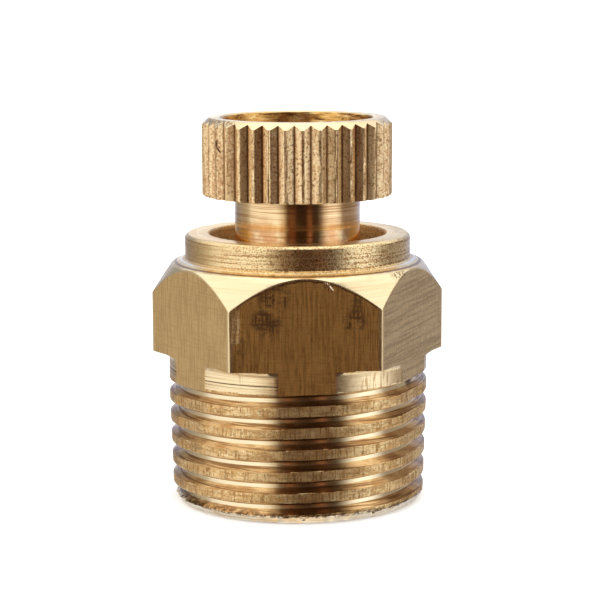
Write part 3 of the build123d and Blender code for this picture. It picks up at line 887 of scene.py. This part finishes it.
def knurl_brass():
    """Straight knurl: coarse grain, short streaks along the ribs, dark specks, painted sparkles and painted
    shade in the valleys.
    """
    look = Finish("knurl", 0.36)
    streak = look.noise((7.0, 0.9), 4, 0.75)
    grain = look.noise((5.5, 6.5), 4, 0.8, offset=5.0)
    face = look.noise((2.2, 0.08), 2, 0.6, offset=9.0)
    tone = look.tint((0.70, 0.42, 0.19), (0.98, 0.73, 0.42), streak, 0.36, 0.54)
    tone = look.tint(tone, (0.62, 0.33, 0.16), face, 0.50, 0.60, 0.6)
    # Painted sparkles: pale grains
    tone = look.tint(tone, (1.0, 0.88, 0.60), grain, 0.52, 0.60, 0.75)
    tone = look.tint(tone, DARK_BRASS, grain, 0.46, 0.37, 0.9)
    # Painted shade: darker in the valleys between the ribs
    root = KNOB_R - KNURL_DEPTH
    tone = look.tint(tone, (0.22, 0.10, 0.04), look.radius(), root + 0.07, root + 0.01, 0.9)
    for scratch in KNURL_SCRATCHES:
        tone = look.mix(look.spot(*scratch), tone, SOOT_AND_SHADOW)
    look.colour(tone)
    look.rough(grain, 0.50, 0.30, 0.2)
    look.bump(streak, 1.5)
    look.bump(grain, 4.0)
    return look.material


def neck_brass():
    """Smooth neck: bright rings, with a painted copper reflection towards its foot and painted orange
    reflections at its sides.
    """
    look = Finish("neck", 0.14)
    look.lean_up(look.levels(look.height(), 17.55, 17.15, 0.0, 0.21))
    ring = look.noise((0.06, 7.0), 3, 0.85)
    patch = look.noise((1.2, 0.9), 4, 0.6, offset=2.0)
    # Painted reflection of the brass round the neck's foot: copper towards the foot, in patches
    foot = look.times(look.levels(look.height(), 18.9, 16.9), look.levels(patch, 0.35, 0.60))
    tone = look.mix(look.times(foot, 0.8), (0.97, 0.75, 0.45), (0.66, 0.30, 0.12))
    # Painted reflections: orange spots at the foot's left and right
    for side in (-1, 1):
        tone = look.mix(look.spot((side * 3.45, 16.95), (0.50, 0.60)), tone, (0.86, 0.42, 0.08))
    look.colour(look.tint(tone, (0.52, 0.27, 0.12), ring, 0.52, 0.40, 0.85))
    look.rough(ring, 0.16, 0.08)
    look.bump(ring, 0.8)
    return look.material


def cup_brass():
    """Inside of the knob's cup: dark brown in patches, with painted highlights in dashes round it."""
    look = Finish("knob_cup", 0.24, 0.85)
    dash = look.turning(7.0, 0.9)
    patch = look.noise((0.7, 1.2), 4, 0.65, offset=5.0)
    tone = look.tint((0.85, 0.50, 0.15), (0.30, 0.12, 0.03), patch, 0.42, 0.58, 0.8)
    # Painted highlights: pale dashes round the cup
    tone = look.tint(tone, (1.0, 0.84, 0.48), dash, 0.54, 0.64)
    tone = look.tint(tone, (0.12, 0.04, 0.01), dash, 0.47, 0.38)
    look.colour(tone)
    look.rough(dash, 0.30, 0.16, 0.2)
    look.bump(dash, 3.5)
    return look.material


def collar_brass():
    """Wall round the mouth: turning lines all round, sand-like pits with painted glints, fewer of them on
    the left, and painted shade darkening its left end.
    """
    look = Finish("collar", 0.27)
    ring = look.turning(8.0, detail=3, roughness=0.8)
    grain = look.noise((9.0, 12.0), 2, 0.7, offset=1.0)
    patch = look.noise((0.9, 1.8), 5, 0.65, offset=3.0)
    wall = look.levels(look.height(), BODY_TOP - 0.02, BODY_TOP - 0.08)
    sandy = look.times(look.levels(look.x, -6.5 * MM, -1.5 * MM, 0.2, 1.0), wall)
    tone = look.tint((1.0, 0.79, 0.44), (0.76, 0.48, 0.21), patch, 0.46, 0.66, 0.6)
    lines = look.times(look.levels(ring, 0.51, 0.43, 0.0, 0.9), wall)
    tone = look.mix(lines, tone, (0.48, 0.25, 0.09))
    # Painted shade: the wall darker towards its left end
    tone = look.tint(tone, (0.70, 0.48, 0.24), look.x, -4.5 * MM, -6.5 * MM, 0.5)
    # Dark pits and painted glints on the grains, fewer on the left
    tone = look.sand(tone, grain, sandy, (0.48, 0.38, 0.85), (0.53, 0.61, 0.85), (1.0, 0.88, 0.60))
    look.colour(tone)
    look.rough(ring, 0.36, 0.24)
    look.bump(ring, 2.2)
    look.bump(look.times(grain, sandy), 9.0)
    return look.material


def step_brass():
    """Narrow ring at the collar's foot: a painted highlight along its inner edge and a thin dark line round
    it.
    """
    look = Finish("collar_foot", 0.22)
    radius = look.radius()
    patch = look.noise((1.2, 2.0), 4, 0.7, offset=3.0)
    tone = look.tint((0.98, 0.80, 0.50), (0.80, 0.56, 0.28), patch, 0.40, 0.62)
    # Painted highlight: near-white along the inner edge
    tone = look.tint(tone, (1.0, 0.97, 0.88), radius, 7.48, 7.38)
    line = look.times(look.levels(radius, 7.60, 7.68), look.levels(radius, 7.84, 7.78))
    look.colour(look.mix(look.times(line, 0.9), tone, (0.24, 0.13, 0.06)))
    look.rough(patch, 0.26, 0.18, 0.2)
    look.bump(patch, 0.5)
    return look.material


def soft_finish(name, bright, dark, roughness, per_mm, depth, metallic=0.0):
    """Plain surface of a small inner part, with fine grain."""
    look = Finish(name, roughness, metallic)
    grain = look.noise(per_mm, 4, 0.65)
    look.colour(look.tint(dark, bright, grain, 0.36, 0.64))
    look.rough(grain, roughness + 0.08, roughness - 0.08, 0.2)
    look.bump(grain, depth)
    return look.material


# Rubbed spots on the front flat: (x, z) of the middle, half sizes, strength
FRONT_SPOTS = (
    ((-1.7, 14.3), (1.2, 1.2), 0.75), ((-2.4, 12.5), (1.1, 0.9), 0.9), ((-2.2, 13.3), (0.7, 1.8), 0.6),
    ((3.1, 13.2), (0.40, 1.5), 0.7), ((2.9, 12.4), (0.75, 0.75), 0.9), ((-4.0, 11.0), (0.5, 1.8), 0.5),
)
# Gritty rubbed places on the cone at the right and on the knob's rim at the left
CONE_RUBS = (((5.85, 15.0), (0.65, 0.40), -20),)
RIM_RUBS = (((-4.9, 24.05), (0.95, 0.35), 0),)
# Scratches on the front flat, coloured near-white as a painted highlight: the middle, half sizes, degrees
# from upright
FRONT_SCRATCHES = (
    ((1.50, 14.60), (0.045, 0.36), 38), ((1.36, 14.74), (0.035, 0.16), 30),
)

body = body_skin([
    crest_brass(),
    groove_brass(),
    # The front flat's tones are darker and more orange than the other flats': painted shade on the front
    # flat
    flat_brass("hex_front", (0.97, 0.59, 0.21), (0.56, 0.31, 0.10), 0.46, FRONT_SPOTS, FRONT_SCRATCHES),
    flat_brass("hex_back", (0.84, 0.59, 0.28), (0.66, 0.44, 0.20), 0.44),
    flat_brass("hex_left", (0.87, 0.63, 0.31), (0.63, 0.43, 0.20), 0.42),
    tooled_brass("hex_right", (0.86, 0.67, 0.39), (0.54, 0.40, 0.22), 60, 6, 0.36),
    turned("cone", (0.99, 0.83, 0.54), (0.90, 0.68, 0.38), 0.3, 0.20, 6.0, 0.3, rubs=CONE_RUBS),
    collar_brass(),
    turned("counterbore", (0.92, 0.58, 0.22), (0.40, 0.20, 0.07), 0.5, 0.45, 7.0, 1.0, 0.8, 0.55),
    turned("bore", BRASS, BROWN_BRASS, 0.4, 0.30, 8.0, 0.7),
    foot_brass(),
    turned("hex_edge", PALE_BRASS, BRASS, 0.5, 0.32, 3.0, 0.3),
    land_brass(),
    # Painted shadow under the burr along the front arch
    turned("arch_burr_shadow", (0.34, 0.18, 0.07), SOOT_AND_SHADOW, 0.9, 0.40, 7.0, 1.0),
    step_brass(),
])
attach(body, "body")
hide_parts("valve_body")
knob = knob_skin([
    knurl_brass(),
    turned("knob_rim", (1.0, 0.80, 0.50), BRASS, 0.3, 0.22, 6.0, 0.3, rubs=RIM_RUBS),
    cup_brass(),
    neck_brass(),
    turned("knob_head", BRASS, BROWN_BRASS, 0.4, 0.28, 8.0, 0.7),
])
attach(knob, "knob")
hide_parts("knob_spindle")

# ---- inner parts
SPRING_LOW = 2.20
SPRING_HIGH = 4.00
SPRING_MEAN_R = 2.40
SPRING_WIRE_R = 0.175
SPRING_TURNS = 3.5


def spring_mesh(material):
    """Round wire along a helix between the seat and the plunger's head, with closed ends."""
    along, around = 180, 12
    rise = SPRING_HIGH - SPRING_LOW - 2 * SPRING_WIRE_R - 0.02
    points, quads = [], []
    for i in range(along + 1):
        angle = 2 * pi * SPRING_TURNS * i / along
        middle = SPRING_LOW + SPRING_WIRE_R + 0.01 + rise * i / along
        for j in range(around):
            turn = 2 * pi * j / around
            radius = SPRING_MEAN_R + SPRING_WIRE_R * cos(turn)
            point = (radius * cos(angle), radius * sin(angle), middle + SPRING_WIRE_R * sin(turn))
            points.append([c * MM for c in point])
    for i in range(along):
        for j in range(around):
            k = (j + 1) % around
            quads.append((i * around + j, i * around + k, (i + 1) * around + k, (i + 1) * around + j))
    quads.append(tuple(range(around)))
    quads.append(tuple(range(along * around, (along + 1) * around))[::-1])
    mesh = bpy.data.meshes.new("spring_wire")
    mesh.from_pydata(points, [], quads)
    mesh.polygons.foreach_set("use_smooth", np.ones(len(mesh.polygons), bool))
    mesh.materials.append(material)
    return link("spring_wire", mesh)


steel = soft_finish("spring_steel", (0.60, 0.60, 0.61), (0.42, 0.42, 0.43), 0.30, (3.0, 3.0, 3.0), 0.5, 1.0)
rubber = soft_finish("seal_rubber", (0.030, 0.030, 0.030), (0.016, 0.016, 0.016), 0.55, (6.0, 6.0, 6.0), 1.0)
fibre = soft_finish("fibre", (0.46, 0.18, 0.11), (0.30, 0.10, 0.06), 0.80, (4.0, 4.0, 9.0), 6.0)
inner = turned("inner_brass", BRASS, BROWN_BRASS, 0.4, 0.26, 8.0, 0.5)
spring = spring_mesh(steel)
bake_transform(spring)
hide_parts("plunger_spring")
choices = (("retaining_ring", steel), ("o_ring", rubber), ("fibre", fibre))
for name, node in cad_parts.items():
    material = next((material for word, material in choices if word in name), inner)
    node.data.materials.clear()
    node.data.materials.append(material)

# ---- camera, light and floor
CAMERA_AZIMUTH = -3.381
CAMERA_TILT = 9.156
CAMERA_ROLL = 0.217
CAMERA_DISTANCE = 134.749 * MM
CAMERA_TARGET = Vector((0, 0, 12.491 * MM))
CAMERA_LENS = 127.255
CAMERA_SHIFT = (0.0038, 0.0017)


def make_camera():
    azimuth, tilt = radians(CAMERA_AZIMUTH), radians(CAMERA_TILT)
    back = Vector((sin(azimuth) * cos(tilt), -cos(azimuth) * cos(tilt), sin(tilt)))
    camera = link("camera", bpy.data.cameras.new("camera"))
    camera.data.sensor_width = 36.0
    camera.data.lens = CAMERA_LENS
    camera.data.shift_x, camera.data.shift_y = CAMERA_SHIFT
    camera.data.clip_start = 0.01
    turn = (-back).to_track_quat("-Z", "Y").to_matrix().to_4x4()
    place = Matrix.Translation(CAMERA_TARGET + back * CAMERA_DISTANCE)
    camera.matrix_world = place @ turn @ Matrix.Rotation(radians(-CAMERA_ROLL), 4, "Z")
    scene.camera = camera


WALLS = (
    (-180, (1.28, 1.29, 1.34)), (-176, (0.92, 0.95, 1.06)), (-171, (0.62, 0.65, 0.80)),
    (-150, (0.28, 0.27, 0.29)), (-122, (0.40, 0.35, 0.29)), (-108, (0.52, 0.46, 0.38)),
    (-98, (0.90, 0.87, 0.82)), (-80, (1.05, 1.00, 0.94)), (-60, (1.06, 1.02, 0.95)),
    (-42, (1.14, 1.12, 1.06)), (-32, (0.90, 0.82, 0.68)), (-26, (0.58, 0.45, 0.30)),
    (-22, (0.12, 0.06, 0.03)), (-12, (0.20, 0.08, 0.035)), (-5, (0.06, 0.03, 0.014)),
    (0, (0.040, 0.020, 0.010)), (12, (0.040, 0.020, 0.010)), (20, (0.27, 0.11, 0.05)),
    (26, (0.05, 0.026, 0.014)), (36, (0.06, 0.04, 0.024)), (43, (0.35, 0.29, 0.24)),
    (50, (0.88, 0.83, 0.77)), (58, (1.22, 1.22, 1.20)), (72, (1.22, 1.24, 1.24)),
    (82, (0.85, 0.82, 0.78)), (90, (0.31, 0.25, 0.21)), (112, (0.32, 0.28, 0.24)),
    (130, (0.42, 0.38, 0.36)), (152, (0.54, 0.58, 0.78)), (171, (0.62, 0.68, 0.86)),
    (176, (0.92, 0.95, 1.06)), (180, (1.28, 1.29, 1.34)),
)
BLUE_WHITE = (0.85, 0.90, 1.0)
LAMP, LAMP_EDGE = (1.20, 1.17, 1.10), (1.05, 1.03, 0.98)
ROOF_FRONT = (
    (-36, LAMP_EDGE), (-24, (0.06, 0.035, 0.02)), (12, (0.03, 0.018, 0.012)), (38, (0.06, 0.04, 0.03)),
    (52, LAMP_EDGE),
)
ROOF_BACK = ((95, LAMP), (125, LAMP), (150, (0.85, 0.87, 0.95)), (180, BLUE_WHITE))
TABLE_FRONT = (
    (-44, (0.80, 0.72, 0.60)), (-28, (0.05, 0.025, 0.012)), (8, (0.02, 0.010, 0.006)),
    (40, (0.05, 0.030, 0.020)), (58, (0.80, 0.75, 0.66)),
)
TABLE_BACK = ((95, (1.00, 0.97, 0.92)), (125, (0.60, 0.62, 0.68)), (180, BLUE_WHITE))


def with_back(front, back):
    """A ramp's front stops, with the back's stops on both sides."""
    return (*((-angle, colour) for angle, colour in back[::-1]), *front, *back)


def make_world():
    """A light tent: white all round, greyer at the sides, with a dark gap at the front for the camera."""
    world = bpy.data.worlds.new("studio")
    scene.world = world
    world.cycles.sampling_method = "NONE"
    world.use_nodes = True
    world.node_tree.nodes.clear()
    sky = Graph(world.node_tree)
    x, y, z = sky.axes(sky.put("TexCoord").outputs["Generated"])
    share = sky.sum(sky.times(sky.sum(x, sky.times(y, -1), "ARCTAN2"), 1 / (2 * pi)), 0.5)

    def ramp(stops):
        """Colour by direction, from -180 to 180 degrees round the object with the front at 0."""
        node = sky.put("ValToRGB")
        elements = node.color_ramp.elements
        elements.remove(elements[1])
        elements[0].position, elements[0].color = 0.0, (*stops[0][1], 1)
        for angle, colour in stops[1:]:
            elements.new((angle + 180) / 360).color = (*colour, 1)
        sky.feed(node.inputs[0], share)
        return node.outputs[0]

    tent = sky.tint(ramp(WALLS), ramp(with_back(ROOF_FRONT, ROOF_BACK)), z, 0.35, 0.50)
    tent = sky.tint(tent, ramp(with_back(TABLE_FRONT, TABLE_BACK)), z, -0.30, -0.45)
    tent = sky.tint(tent, (1.55, 1.50, 1.40), z, 0.80, 0.90)
    tent = sky.tint(tent, (1.25, 1.18, 1.08), z, -0.95, -0.98)
    glossy = sky.put("MixShader")
    sky.feed(glossy.inputs[0], sky.put("LightPath").outputs["Is Glossy Ray"])
    for socket, colour, strength in ((1, (1, 1, 1), 1.8), (2, tent, 1.0)):
        background = sky.put("Background")
        sky.feed(background.inputs["Color"], colour)
        sky.feed(background.inputs["Strength"], strength)
        sky.feed(glossy.inputs[socket], background.outputs[0])
    sky.feed(sky.put("OutputWorld").inputs[0], glossy.outputs[0])


def make_floor():
    """White table, a hair below the part so that their faces don't coincide."""
    half, low = 3.0, -0.01 * MM
    mesh = bpy.data.meshes.new("floor")
    corners = [(-half, -half, low), (half, -half, low), (half, half, low), (-half, half, low)]
    mesh.from_pydata(corners, [], [(0, 1, 2, 3)])
    floor = link("floor", mesh)
    material = bpy.data.materials.new("white_table")
    material.use_nodes = True
    shader = material.node_tree.nodes["Principled BSDF"]
    shader.inputs["Base Color"].default_value = (0.95, 0.95, 0.95, 1)
    shader.inputs["Roughness"].default_value = 0.9
    mesh.materials.append(material)
    floor.visible_glossy = False


make_camera()
make_world()
make_floor()
scene.view_settings.view_transform = "Standard"
